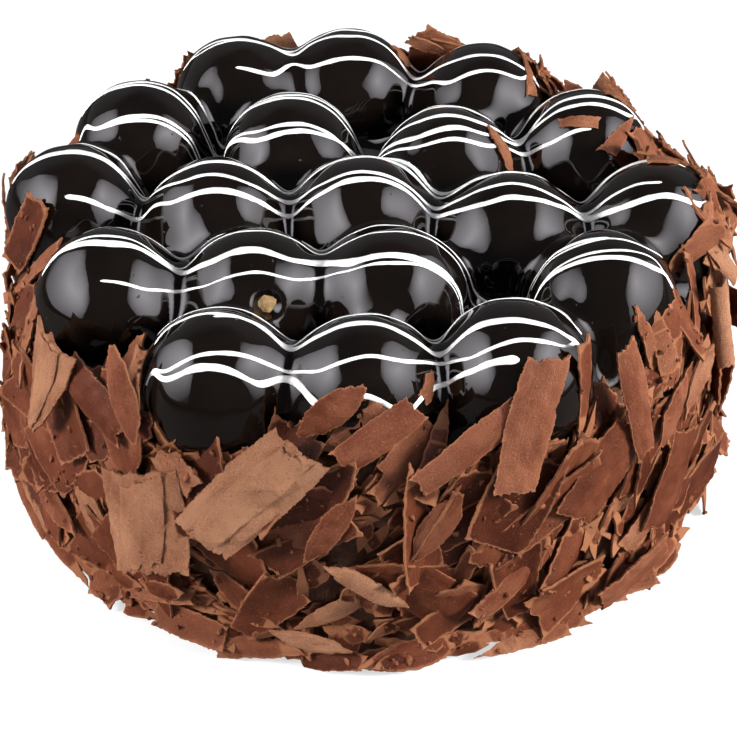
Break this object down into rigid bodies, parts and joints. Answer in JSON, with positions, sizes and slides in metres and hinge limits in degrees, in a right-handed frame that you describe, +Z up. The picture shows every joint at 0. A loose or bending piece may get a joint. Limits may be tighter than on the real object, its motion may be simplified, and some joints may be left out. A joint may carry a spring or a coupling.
{
  "type": "profiterole cake",
  "caption": "Round cake coated with chocolate shavings and topped with packed choux puffs under a glossy dark glaze.",
  "frame": {"origin": "middle of the cake's flat base, which lies in z = 0", "axes": "+Z up through the puffs, -Y the shown front, +X to the right of the front"},
  "size_m": [0.2474, 0.2483, 0.1042],
  "materials": {
    "cake_cream": "soft chocolate cream, rough",
    "shavings": "packed milk chocolate shavings",
    "shaving_light": "scraped milk chocolate, pale dusty face",
    "shaving_mid": "milk chocolate, satin",
    "shaving_dark": "smooth reddish chocolate, satin",
    "glazed_puff": "choux puff under a mirror chocolate glaze",
    "choux": "baked choux pastry",
    "glaze": "mirror chocolate glaze",
    "drizzle": "white chocolate, satin"
  },
  "bodies": {
    "root": {"cake_body": "cake_cream", "shavings_coat": "shavings", "puff_01": "glazed_puff", "puff_02": "glazed_puff", "puff_03": "glazed_puff", "puff_04": "glazed_puff", "puff_05": "glazed_puff", "puff_06": "glazed_puff", "puff_07": "glazed_puff", "puff_08": "glazed_puff", "puff_09": "glazed_puff", "puff_10": "glazed_puff", "puff_11": "glazed_puff", "puff_12": "glazed_puff", "puff_13": "glazed_puff", "puff_14": "glazed_puff", "puff_15": "glazed_puff", "puff_16": "glazed_puff", "puff_17": "glazed_puff", "puff_18": "glazed_puff", "puff_19": "glazed_puff", "shaving_01": "shaving_dark", "shaving_02": "shaving_dark", "shaving_03": "shaving_mid", "shaving_04": "shaving_dark", "shaving_05": "shaving_dark", "shaving_06": "shaving_mid", "shaving_07": "shaving_dark", "shaving_08": "shaving_dark", "shaving_09": "shaving_light", "shaving_10": "shaving_mid", "shaving_11": "shaving_light", "shaving_12": "shaving_mid", "shaving_13": "shaving_light", "shaving_14": "shaving_mid", "shaving_15": "shaving_light", "shaving_16": "shaving_mid", "shaving_17": "shaving_light", "shaving_18": "shaving_dark", "shaving_19": "shaving_light", "shaving_20": "shaving_mid", "shaving_21": "shaving_light", "shaving_22": "shaving_mid", "shaving_23": "shaving_mid", "shaving_24": "shaving_dark", "shaving_25": "shaving_light", "shaving_26": "shaving_light", "shaving_27": "shaving_mid", "shaving_28": "shaving_mid", "shaving_29": "shaving_light", "shaving_30": "shaving_light", "shaving_31": "shaving_mid", "shaving_32": "shaving_mid", "shaving_33": "shaving_mid", "shaving_34": "shaving_mid", "shaving_35": "shaving_dark", "shaving_36": "shaving_light", "shaving_37": "shaving_mid", "shaving_38": "shaving_mid", "shaving_39": "shaving_light"}
  },
  "joints": []
}
